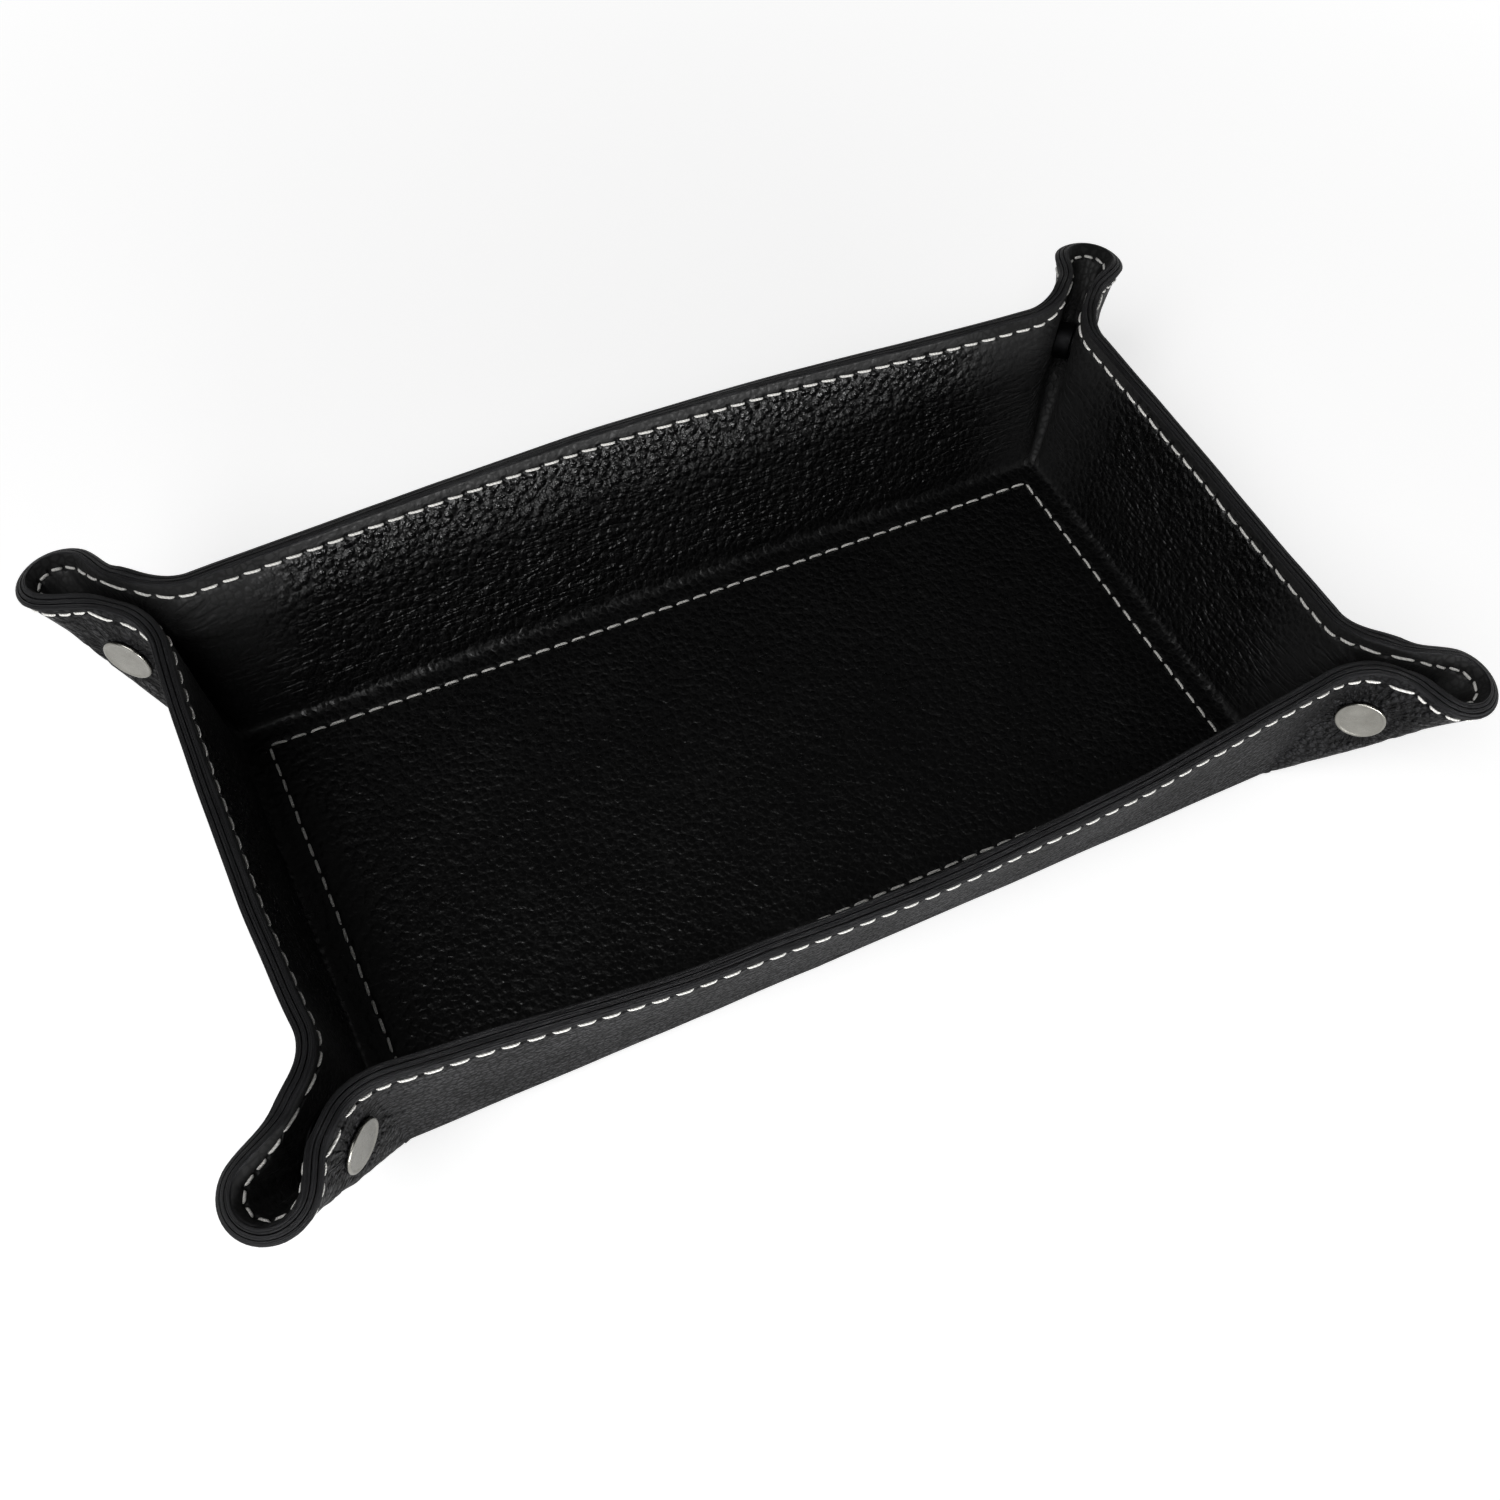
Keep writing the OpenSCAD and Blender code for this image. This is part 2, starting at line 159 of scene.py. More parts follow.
def eighth(v, corner, mid_spread, end_spread, end_turn, steps):
    """Plan of an eighth of the wall at a share v of its height, from mid wall to the ear's tip."""
    opening = v ** 8
    gap = mix(low_half_gap, half_gap, min(1, v / gap_share))
    loop = gap + (tip_radius - half_gap) * opening
    bend = mix(gap, neck_bend_radius, v ** 3)
    turn = -end_turn * v
    tangent = bend * math.tan(math.radians(45 - turn) / 2)
    neck = math.sqrt(2) * end_spread * v - gap
    wall_end = on_diagonal(corner, neck, gap) - heading(turn) * tangent
    bend_centre = wall_end + bend * heading(turn + 90)
    wall_mid = np.array([0, corner[1] + mid_spread * v])
    handle = wall_end[0] / 3
    straight_from = neck + tangent
    loop_centre = mix(base_corner_radius * (1 - math.sqrt(2)), ear_reach, v) - loop
    flare = flare_angle * v ** 4
    loop_from = np.array([loop_centre, 0]) + loop * heading(90 + flare)
    straight_to = mix(straight_from, loop_from[0], mix(straight_share_low, straight_share_rim, opening))
    pull = (loop_from[0] - straight_to) / 3
    points = [bezier(wall_mid, wall_mid + [handle, 0], wall_end - heading(turn) * handle, wall_end,
                     i / steps) for i in range(steps + 1)]
    points += [bend_centre + bend * heading(mix(turn, 45, i / bend_steps) - 90)
               for i in range(1, bend_steps + 1)]
    points += [on_diagonal(corner, mix(straight_from, straight_to, i / straight_steps), gap)
               for i in range(1, straight_steps + 1)]
    start = np.array([straight_to, gap])
    for i in range(1, flare_steps + 1):
        place = bezier(start, start + [pull, 0], loop_from - pull * heading(flare), loop_from,
                       i / flare_steps)
        points.append(on_diagonal(corner, *place))
    for i in range(1, tip_steps + 1):
        place = np.array([loop_centre, 0]) + loop * heading((90 + flare) * (1 - i / tip_steps))
        points.append(on_diagonal(corner, *place))
    return np.array(points)


def flat_eighth(corner, inset, r, steps):
    centre = corner - (inset + r)
    points = [[centre[0] * i / steps, corner[1] - inset] for i in range(steps + 1)]
    points += [centre + r * heading(90 - 45 * i / ear_steps) for i in range(1, ear_steps + 1)]
    return np.array(points)


print("points in a quarter:", long_steps + short_steps + 2 * ear_steps)

# %% [markdown]
# ## Rings round the tray
# Two eighths make a quarter, and mirroring it three times closes the ring. Rings run from the
# middle of the floor, over the soft fold and up the wall to the rim. They lie closer together
# where the leather dips under a seam.


# %% Rings of the middle of the sandwich
def quarter(long_part, short_part):
    return np.vstack([long_part, short_part[-2::-1, ::-1]])


def flat_quarter(inset, r):
    return quarter(flat_eighth(base, inset, r, long_steps),
                   flat_eighth(base[::-1], inset, r, short_steps))


def wall_quarter(v):
    return quarter(eighth(v, base, long_spread, long_end_spread, long_end_turn, long_steps),
                   eighth(v, base[::-1], short_spread, short_end_spread, short_end_turn, short_steps))


bend_rise = 0.6


def rim_heights(steps):
    bend_height = mix(rim_height, neck_height, bend_rise)
    ease = lambda t: (1 - math.cos(math.pi * t)) / 2
    heights = [mix(rim_height, bend_height, (i / steps) ** 3) for i in range(steps + 1)]
    heights += [mix(bend_height, neck_height, ease(i / bend_steps)) for i in range(1, bend_steps + 1)]
    rest = ear_steps - bend_steps
    return heights + [mix(neck_height, tip_height, ease(i / rest)) for i in range(1, rest + 1)]


long_rim, short_rim = rim_heights(long_steps), rim_heights(short_steps)
quarter_rim = np.array(long_rim + short_rim[-2::-1])


def ring(plan, heights):
    q = np.column_stack([plan, heights])
    turned = q[:0:-1]
    return np.vstack([q[:-1], turned * [1, -1, 1], q[:-1] * [-1, -1, 1], turned * [-1, 1, 1]])


def level(plan, z):
    return ring(plan, np.full(len(plan), z))


floor_insets = [50, 46, 41, 36, 31, 26, 22, 18, 15, 12.5, 10.8, 9.6, 8.8, 8.3, 8.0, 7.75, 7.5,
                7.25, 7.0, 6.7, 6.2, 5.4, 4.7, fold_width]
floor_rings = [level(flat_quarter(inset, max(0.4, base_corner_radius - inset)), wall_t / 2)
               for inset in floor_insets]
fold_share, fold_steps = 0.09, 8
fold_end = ring(wall_quarter(fold_share), mix(wall_t / 2, quarter_rim, fold_share))
fold_line = level(flat_quarter(0, base_corner_radius), wall_t / 2)
fold_rings = [floor_rings[-1] * (1 - t) ** 2 + fold_line * 2 * t * (1 - t) + fold_end * t * t
              for t in np.linspace(0, 1, fold_steps + 1)[1:]]
seam_shares = [0.862, 0.882, 0.9, 0.912, 0.921, 0.928, 0.935, 0.942, 0.95, 0.96, 0.972, 0.985, 0.995, 1]
wall_shares = list(np.linspace(fold_share, 0.84, 27)[1:]) + seam_shares
wall_rings = [ring(wall_quarter(v), mix(wall_t / 2, quarter_rim, v)) for v in wall_shares]
middle = np.array(floor_rings + fold_rings + wall_rings)
fold_shares = list(np.linspace(0, fold_share, fold_steps + 1)[1:])
height_share = np.array([0] * len(floor_rings) + fold_shares + wall_shares)
rows, around = middle.shape[:2]
print("rings:", rows, "points in each:", around)

# %% [markdown]
# ## Hand-made unevenness
# Real walls are never quite true. The whole sandwich is pushed in and out by a slow, seeded noise,
# a few tenths of a millimetre at the rim, but not beside a snap, whose two halves hold it flat.
# The place on the ear, the distance from the snap and the way round it are kept for the creases.


# %% Outward directions, and the slow waves
def outward(rings):
    along = np.roll(rings, -1, axis=1) - np.roll(rings, 1, axis=1)
    rise = np.gradient(rings, axis=0)
    n = np.cross(rise, along)
    n[:len(floor_rings)] = [0, 0, -1]
    return n / np.linalg.norm(n, axis=2, keepdims=True)


def slow_noise(points, size, seed, squeeze=(1, 1, 1)):
    place = points * squeeze / size + [0, 0, seed]
    return np.array([noise.noise(Vector(p)) for p in place.reshape(-1, 3)]).reshape(points.shape[:-1])


def smooth(x, low, high):
    t = np.clip((x - low) / (high - low), 0, 1)
    return t * t * (3 - 2 * t)


beyond = np.abs(middle[..., :2]) - base
along_ear = (beyond[..., 0] + beyond[..., 1]) / math.sqrt(2)
across_ear = (beyond[..., 1] - beyond[..., 0]) / math.sqrt(2)
past_snap, above_snap = along_ear - snap_reach, middle[..., 2] - snap_height
from_snap = np.hypot(np.hypot(past_snap, above_snap), np.abs(across_ear) - half_gap)
away = np.maximum(from_snap, 1)
flank_mark = np.sign(across_ear) * 1.7 + np.sign(middle[..., 0]) * 3 + np.sign(middle[..., 1]) * 5
snap_way = np.stack([past_snap / away, above_snap / away, flank_mark], axis=-1)
in_pinch = smooth(along_ear, -18, -3) * smooth(height_share, 0.01, 0.08)[:, None]
free = smooth(from_snap, 6, 20) * smooth(height_share, 0.05, 1)[:, None]
wave_depth, wave_length, ripple_depth, ripple_length = 0.55, 34, 0.25, 15
normals = outward(middle)
waves = free * (wave_depth * slow_noise(middle, wave_length, 3.1) +
                ripple_depth * slow_noise(middle, ripple_length, 8.4))
middle = middle + waves[..., None] * normals
normals = outward(middle)
print("largest wave:", round(float(np.abs(waves).max()), 2), "mm")

# %% [markdown]
# ## Running length
# The seam and the lines on the cut edge follow the rim, so each ring point carries the length run
# along the rim seam, and each ring its distance from the cut edge. Both become a UV map in metres.

# %% Lengths along the rim seam and down from the edge
rim_middle = middle[-1]
step_lengths = np.linalg.norm(np.roll(rim_middle, -1, axis=0) - rim_middle, axis=1)
run = np.concatenate([[0], np.cumsum(step_lengths)])
drops = np.linalg.norm(np.diff(middle, axis=0), axis=2)
from_edge = np.concatenate([np.cumsum(drops[::-1], axis=0)[::-1], np.zeros((1, around))])
rim_stitches = round(run[-1] / stitch_pitch)
print("rim", round(run[-1]), "mm,", rim_stitches, "stitches")

# %% [markdown]
# ## What each face does
# The outer leather puckers round each snap cap, the lining crowds into upright pleats inside the
# ear and into level creases low on the walls, and both dip along their seams. These marks are
# part of the shape: bump alone would vanish in raking light.


# %% Creases, pleats and seam dips
def ridges(value):
    return 1 - 2 * np.abs(value)


spoke_depth, crease_depth, rim_dip = 0.5, 0.16, 0.26


def face_relief(outside):
    """How far one face of the sandwich stands off its smooth place, in millimetres."""
    side, pleat_depth, floor_dip = (1, 0.12, 0.3) if outside else (2, 0.34, 0.26)
    turn = np.arctan2(middle[..., 2] - snap_height, past_snap)
    flank = np.where(across_ear > 0, 1.0, 2.0)
    corner = np.sign(middle[..., 0]) * 3 + np.sign(middle[..., 1]) * 5
    fan = np.stack([turn * 3.0, from_snap * 0.05, flank * 4 + corner], axis=-1)
    spokes = ridges(slow_noise(fan, 1, side * 7.7)) - 0.55
    near = smooth(from_snap, 5.4, 7.2) * np.exp(-np.clip(from_snap - 7, 0, None) / 5.5)
    on_ear = smooth(along_ear, -6, 2) * smooth(height_share, 0.1, 0.25)[:, None]
    relief = spoke_depth * spokes * near * on_ear
    upright = np.stack([run[:-1] * 0.42 + np.zeros_like(turn), middle[..., 2] * 0.035, corner], axis=-1)
    pleats = ridges(slow_noise(upright, 1, side * 5.3)) - 0.5
    in_loop = smooth(along_ear, 12, 17) * smooth(height_share, 0.25, 0.6)[:, None]
    relief += pleat_depth * pleats * in_loop
    creases = ridges(slow_noise(middle, 9, side * 2.9, (0.45, 0.45, 3.2))) - 0.55
    low_wall = smooth(height_share, 0.02, 0.1) * (1 - smooth(height_share, 0.3, 0.75))
    relief += crease_depth * creases * low_wall[:, None] * (1 - smooth(along_ear, 2, 8))
    relief -= rim_dip * np.exp(-((from_edge - rim_seam_inset) / 0.6) ** 2)
    at_floor_seam = np.zeros(rows)
    at_floor_seam[:len(floor_insets)] = np.exp(-((np.array(floor_insets) - floor_seam_inset) / 0.55) ** 2)
    return relief - floor_dip * at_floor_seam[:, None]


outside_relief, inside_relief = face_relief(True), face_relief(False)
print("deepest dip:", round(float(inside_relief.min()), 2), "mm")

# %% [markdown]
# ## A ply from a flat grid
# A ply starts as a flat grid, as the real one starts as a flat hide. Its columns run round the
# tray. Its rows run up the outer side, over the cut edge and down the inner side. The grid's first
# and last columns meet and are welded, and the two holes left in the floor are filled.


# %% The rows of a ply
edge_rounding, edge_crown, edge_steps = 0.28, 0.22, 12


def ply_rows(outer_distance, inner_distance, first_row, coarse_outside, coarse_inside):
    """Rows of a ply, each with its places, distance from the edge, place across it and ring."""
    def side_rows(distance, relief, coarse):
        kept = [j for j in range(first_row, rows)
                if not coarse or j % 3 == 0 or j in (first_row, rows - 1)]
        return [(middle[j] + (distance + relief[j])[:, None] * normals[j], from_edge[j], distance, j)
                for j in kept]

    flat = np.zeros((rows, around))
    outer = side_rows(outer_distance, flat if coarse_outside else outside_relief, coarse_outside)
    inner = side_rows(inner_distance, flat if coarse_inside else -inside_relief, coarse_inside)
    rise = middle[-1] - middle[-2]
    rise /= np.linalg.norm(rise, axis=1, keepdims=True)
    edge = []
    for k in range(1, edge_steps):
        turn = math.pi * k / edge_steps
        raised = min(1, math.sin(turn) * 1.6)
        inset = edge_rounding * (1 - raised)
        across = mix(outer_distance, inner_distance, (1 - math.cos(turn)) / 2)
        if k < 3:
            across = outer_distance - inset
        elif k > edge_steps - 3:
            across = inner_distance + inset
        lift = edge_rounding * raised + edge_crown * (1 - (across / outer_face) ** 2)
        place = middle[-1] + across * normals[-1] + (lift - edge_rounding) * rise
        edge.append((place, np.zeros(around), across, rows - 1))
    return outer[:-1] + edge + inner[::-1][1:], len(outer) - 1, len(edge)


print("rows over a cut edge:", edge_steps - 1)


# %% Fold a grid into a ply
def to_mesh(bm, name):
    mesh = bpy.data.meshes.new(name)
    bm.to_mesh(mesh)
    bm.free()
    return mesh


def to_scene(bm, name):
    thing = bpy.data.objects.new(name, to_mesh(bm, name))
    bpy.context.scene.collection.objects.link(thing)
    return thing


def finished(bm, name):
    piece = to_scene(bm, name)
    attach(piece, "root")
    return piece


def fold_ply(name, outer_distance, inner_distance, first_row=0, coarse_outside=False,
             coarse_inside=False, closed_ring=False):
    placed, edge_from, edge_count = ply_rows(outer_distance, inner_distance, first_row,
                                             coarse_outside, coarse_inside)
    if closed_ring:
        placed.append(placed[0])
    bm = bmesh.new()
    uv_layer = bm.loops.layers.uv.new("along_and_from_edge")
    across_layer = bm.verts.layers.float.new("across_edge")
    from_snap_layer = bm.verts.layers.float.new("from_snap")
    snap_way_layer = bm.verts.layers.float_vector.new("snap_way")
    in_pinch_layer = bm.verts.layers.float.new("in_pinch")
    count = len(placed) - 1
    bmesh.ops.create_grid(bm, x_segments=around, y_segments=count, size=1)
    grid = {}
    for v in bm.verts:
        i, j = round((v.co.x + 1) / 2 * around), round((v.co.y + 1) / 2 * count)
        grid[v] = (i, j)
        v[across_layer] = placed[j][2] / outer_face
        v[from_snap_layer] = from_snap[placed[j][3], i % around]
        v[snap_way_layer] = snap_way[placed[j][3], i % around]
        v[in_pinch_layer] = in_pinch[placed[j][3], i % around]
    for face in bm.faces:
        low = min(grid[v][1] for v in face.verts)
        face.material_index = 1 if edge_from - 1 <= low < edge_from + edge_count else 0
        face.smooth = True
        for loop in face.loops:
            i, j = grid[loop.vert]
            loop[uv_layer].uv = (run[i] * MM, placed[j][1][i % around] * MM)
    for v, (i, j) in grid.items():
        v.co = placed[j][0][i % around] * MM
    bmesh.ops.remove_doubles(bm, verts=bm.verts, dist=1e-7)
    bmesh.ops.holes_fill(bm, edges=[e for e in bm.edges if e.is_boundary], sides=0)
    bmesh.ops.recalc_face_normals(bm, faces=bm.faces)
    return finished(bm, name)


print("a ply is folded from a grid", around, "columns wide")

# %% [markdown]
# ## The three plies
# A hair of air is left between the plies, so that their faces don't flicker through one another.
# The faces that lie against the middle ply are never seen, so they take every third row only.

# %% Fold the three plies
outer_joint = outer_face - outer_leather_t
inner_joint = outer_joint - stiffener_t
ply_gap = 0.03
outer_hide = fold_ply("outer_hide", outer_face, outer_joint + ply_gap, coarse_inside=True)
lining_hide = fold_ply("lining_hide", inner_joint - ply_gap, inner_face, coarse_outside=True)
first_stiffener_row = floor_insets.index(6.7)
middle_ply = fold_ply("middle_ply", outer_joint, inner_joint, first_stiffener_row,
                      coarse_outside=True, coarse_inside=True, closed_ring=True)
for piece, node, slot in ((outer_hide, "outer_leather", "outer_leather"),
                          (lining_hide, "lining", "lining_leather"),
                          (middle_ply, "wall_stiffener", "board")):
    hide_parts(node)
    print(piece.name, len(piece.data.polygons), "faces")

# %% [markdown]
# ## Stitches
# A stitch is a short length of waxed thread that rises out of one hole and dips into the next. One
# is made from a sphere: its poles go to the two holes, and the middle bulges off the leather. A
# swept tube would need far more faces for the same look in six hundred copies.


# %% One sphere as the pattern of a stitch
bm = bmesh.new()
bm.loops.layers.uv.new("thread")
bmesh.ops.create_uvsphere(bm, u_segments=8, v_segments=10, radius=1, calc_uvs=True)
for face in bm.faces:
    face.smooth = True
bmesh.ops.recalc_face_normals(bm, faces=bm.faces)
pattern = np.array([v.co for v in bm.verts])
stitch_mesh = to_mesh(bm, "stitch")
along_stitch = 0.5 + 0.5 * np.sign(pattern[:, 2]) * np.abs(pattern[:, 2]) ** 0.75
round_thread = np.arctan2(pattern[:, 1], pattern[:, 0])
stitch_radius = thread_d / 2 * np.sqrt(1 - np.abs(2 * along_stitch - 1) ** 5)
print("faces in a stitch:", len(stitch_mesh.polygons))


# %% Bend copies of it along a seam
slant_spread, length_spread = 0.12, 0.06
hole_depth, thread_flatness = 0.5, 0.85


def lay_stitches(name, count, step, seam_at, lift, lean, seed):
    """seam_at gives places and the ways off the leather for an array of running lengths."""
    slant, longer = (np.array([spread * noise.noise(Vector((k * pace, seed, row)))
                               for k in range(count)])[:, None]
                     for spread, pace, row in ((slant_spread, 0.7, 0.5), (length_spread, 0.9, 4.5)))
    s = (np.arange(count)[:, None] + 0.5 + (stitch_share + longer) * (along_stitch - 0.5)) * step
    places, off = seam_at(s)
    along = seam_at(s + 0.1)[0] - places
    along /= np.linalg.norm(along, axis=-1, keepdims=True)
    sideways = np.cross(along, off)
    ends = np.abs(2 * along_stitch - 1)
    rise = lift - hole_depth * ends ** 5 + thread_flatness * stitch_radius * np.sin(round_thread)
    sway = (slant + lean) * (2 * along_stitch - 1) + stitch_radius * np.cos(round_thread)
    points = (places + off * rise[..., None] + sideways * sway[..., None]) * MM
    bm = bmesh.new()
    for _ in range(count):
        bm.from_mesh(stitch_mesh)
    for v, place in zip(bm.verts, points.reshape(-1, 3)):
        v.co = place
    return finished(bm, name)


def rim_seam(distance):
    """The rim seam on a face of the sandwich, as a function of running length."""
    rows_at = np.array([np.interp(rim_seam_inset, from_edge[::-1, i], np.arange(rows)[::-1])
                        for i in range(around)])
    low, part, columns = rows_at.astype(int), (rows_at % 1)[:, None], np.arange(around)
    face = middle + distance * normals
    line = mix(face[low, columns], face[low + 1, columns], part)
    off = normals[low, columns] * (1 if distance > 0 else -1)

    def read(values, s):
        return np.stack([np.interp(s % run[-1], run, np.append(values[:, k], values[0, k]))
                         for k in range(3)], axis=-1)

    def at(s):
        off_here = read(off, s)
        return read(line, s), off_here / np.linalg.norm(off_here, axis=-1, keepdims=True)

    return at


rim_step = run[-1] / rim_stitches
thread_lift, rim_lean, floor_lean = 0.03, 0.14, 0.08
outside_stitches = lay_stitches("outside_stitches", rim_stitches, rim_step, rim_seam(outer_face),
                                thread_lift, rim_lean, 1)
inside_stitches = lay_stitches("inside_stitches", rim_stitches, rim_step, rim_seam(inner_face),
                               thread_lift, rim_lean, 2)
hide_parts("rim_thread_outside")
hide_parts("rim_thread_inside")
print("rim stitches:", 2 * rim_stitches)


# %% Stitches of the floor seam
def floor_side(start, end, z, side):
    """One side of the floor seam as a straight function of running length."""
    start, end = np.array([*start, z]), np.array([*end, z])
    way = (end - start) / np.linalg.norm(end - start)
    return lambda s: (start + s[..., None] * way, np.broadcast_to([0.0, 0.0, side], s.shape + (3,)))


def floor_stitching(name, z, side, lift):
    half = base - floor_seam_inset
    corners = [(-half[0], -half[1]), (half[0], -half[1]), (half[0], half[1]), (-half[0], half[1])]
    sides = []
    for k in range(4):
        length = 2 * half[k % 2]
        count = round(length / stitch_pitch)
        seam = floor_side(corners[k], corners[(k + 1) % 4], z, side)
        sides.append(lay_stitches(f"{name}_{k}", count, length / count, seam, lift, floor_lean, 3 + k))
    joined = bmesh.new()
    for piece in sides:
        joined.from_mesh(piece.data)
        bpy.data.objects.remove(piece)
    return finished(joined, name)


groove_depth = 0.4
floor_stitches_top = floor_stitching("floor_stitches_top", wall_t, 1, thread_lift)
floor_stitches_under = floor_stitching("floor_stitches_under", groove_depth, -1, 0.0)
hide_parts("floor_thread_top")
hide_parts("floor_thread_under")
stitching = (outside_stitches, inside_stitches, floor_stitches_top, floor_stitches_under)
print("floor stitches:", len(floor_stitches_top.data.polygons) // len(stitch_mesh.polygons), "on top")

# %% [markdown]
# ## Snap fasteners
# Every part of a snap is turned, so half of its outline, spun once round, makes it. The cap is a
# flat disc with a rolled lip, and its post goes through the leather to the socket or the stud.


# %% Spin an outline
def spin_outline(outline, steps=56):
    bm = bmesh.new()
    verts = [bm.verts.new((r * MM, 0, z * MM)) for r, z in outline]
    edges = [bm.edges.new(pair) for pair in zip(verts, verts[1:])]
    bmesh.ops.spin(bm, geom=verts + edges, axis=(0, 0, 1), cent=(0, 0, 0), angle=2 * math.pi,
                   steps=steps, use_merge=True)
    bmesh.ops.remove_doubles(bm, verts=bm.verts, dist=1e-6)
    bmesh.ops.recalc_face_normals(bm, faces=bm.faces)
    for face in bm.faces:
        face.smooth = True
    return bm


def arc(r, z, radius, start, end, steps=6):
    return [(r + radius * math.cos(math.radians(mix(start, end, i / steps))),
             z + radius * math.sin(math.radians(mix(start, end, i / steps)))) for i in range(steps + 1)]


cap_r, cap_t, post_r, cap_gap, seat_gap = 5.25, 0.9, 1.5, 0.1, 0.05
flange_r, flange_t, ball_r = 4.3, 0.7, 2.2
lip_r, post_edge_r, flange_edge_r = cap_t / 2, 0.3, 0.4 * flange_t
neck_outside, neck_inside = half_gap + outer_face, half_gap + inner_face
flange_top = neck_inside - seat_gap - flange_t
socket_face, socket_back = -flange_top + 2 * seat_gap, neck_inside - seat_gap
mouth_r = ball_r + 0.2
mouth_depth = socket_back - flange_t - socket_face
ball_height = mouth_depth - 0.2


def cap_outline(post_end):
    """A post, a rolled lip and a nearly flat disc with a shallow ring inside the lip."""
    z = neck_outside + cap_gap
    post = [(0, post_end), (post_r - post_edge_r, post_end)]
    post += arc(post_r - post_edge_r, post_end + post_edge_r, post_edge_r, -90, 0, 3) + [(post_r, z)]
    lip = arc(cap_r - lip_r, z + lip_r, lip_r, -90, 90, 10)
    return post + lip + [(cap_r - 0.72, z + 0.84), (cap_r - 0.86, z + 0.76), (cap_r - 1.05, z + 0.75),
                         (2.4, z + 0.79), (0, z + 0.8)]


def flange_outline(face):
    """A flange on the leather, with a rounded rim, from its bore to the level of its face."""
    edge = flange_edge_r
    return ([(post_r + 0.1, socket_back), (flange_r - edge, socket_back)] +
            arc(flange_r - edge, socket_back - edge, edge, 90, 0, 4) +
            arc(flange_r - edge, face + edge, edge, 0, -90, 4))


def socket_outline():
    """A flange with a groove in its face and a mouth for the ball."""
    return (flange_outline(socket_face) +
            [(3.4, socket_face), (3.15, socket_face + 0.22), (2.8, socket_face + 0.22), (2.62, socket_face)] +
            [(mouth_r, socket_face + 0.12), (mouth_r, socket_back - flange_t),
             (post_r + 0.1, socket_back - flange_t), (post_r + 0.1, socket_back)])


def stud_outline():
    """A flange and the ball that snaps into the mouth."""
    top = flange_top - ball_height
    return (flange_outline(flange_top) +
            [(ball_r - 0.25, flange_top), (ball_r - 0.3, flange_top - 0.3 * ball_height)] +
            arc(ball_r - lip_r, top + lip_r, lip_r, 30, -90, 6) + [(0, top)])


print("cap", 2 * cap_r, "mm, socket", 2 * flange_r, "mm")

# %% [markdown]
# Each outline is spun once and set at its corner. The socket's side of a snap faces out through
# the long wall and the stud's side through the short wall. A mirror turns a shape inside out, so
# the copies in mirrored corners get their faces turned back.

# %% Set the snaps in the four corners
snap_side = Matrix.Rotation(math.radians(45), 4, "Z") @ Matrix.Rotation(math.radians(-90), 4, "X")
stud_side = snap_side @ Matrix.Rotation(math.radians(180), 4, "X")
stud_floor = flange_top - ball_height + (ball_r - post_r)
turned_parts = {
    "snap_cap": (cap_outline(socket_back - flange_t), snap_side),
    "snap_socket": (socket_outline(), snap_side),
    "snap_stud": (stud_outline(), stud_side),
    "stud_cap": (cap_outline(stud_floor), stud_side),
}
snap_place = on_diagonal(base, snap_reach, 0)
snap_pieces = []
for corner, sx, sy in (("front_left", -1, -1), ("front_right", 1, -1),
                       ("back_left", -1, 1), ("back_right", 1, 1)):
    for part, (outline, side) in turned_parts.items():
        bm = spin_outline(outline)
        place = Matrix.Diagonal((sx, sy, 1, 1)) @ Matrix.Translation(
            Vector((snap_place[0], snap_place[1], snap_height)) * MM) @ side
        bmesh.ops.transform(bm, matrix=place, verts=bm.verts)
        bmesh.ops.recalc_face_normals(bm, faces=bm.faces)
        piece = finished(bm, f"{part}_piece_{corner}")
        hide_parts(f"{part}_{corner}")
        snap_pieces.append(piece)
print("snap pieces:", len(snap_pieces))

# %% [markdown]
# ## Finishes
# Two effects are shared by more than one finish, so each is a node group with its own inputs: the
# pebbles of the grain, and slow unevenness of tone. A group gives out only values. The shader
# itself stays in the material. Small helpers add the nodes, so that a finish reads as a recipe.


# %% Helpers for node groups and materials
def new_group(name, numbers, results):
    """A node group that takes a vector and some numbers, and gives out numbers."""
    group = bpy.data.node_groups.new(name, "ShaderNodeTree")
    add = group.interface.new_socket
    add(name="Vector", in_out="INPUT", socket_type="NodeSocketVector")
    for label, value in numbers.items():
        add(name=label, in_out="INPUT", socket_type="NodeSocketFloat").default_value = value
    for label in results:
        add(name=label, in_out="OUTPUT", socket_type="NodeSocketFloat")
    return group, group.nodes.new("NodeGroupInput"), group.nodes.new("NodeGroupOutput")


def add_node(tree, kind, links=(), **values):
    """Adds a node, sets its properties and input values, and links its inputs."""
    node = tree.nodes.new(kind)
    for key, value in values.items():
        if hasattr(node, key):
            setattr(node, key, value)
        else:
            node.inputs[key.replace("_", " ")].default_value = value
    for key, source in dict(links).items():
        tree.links.new(source, node.inputs[key])
    return node


def add_math(tree, operation, a, b=None, c=None, clamp=False):
    node = add_node(tree, "ShaderNodeMath", operation=operation, use_clamp=clamp)
    for k, value in enumerate((a, b, c)):
        if isinstance(value, (int, float)):
            node.inputs[k].default_value = value
        elif value is not None:
            tree.links.new(value, node.inputs[k])
    return node.outputs[0]


def times(tree, a, b):
    return add_math(tree, "MULTIPLY", a, b)


def times_plus(tree, a, b, c):
    return add_math(tree, "MULTIPLY_ADD", a, b, c)


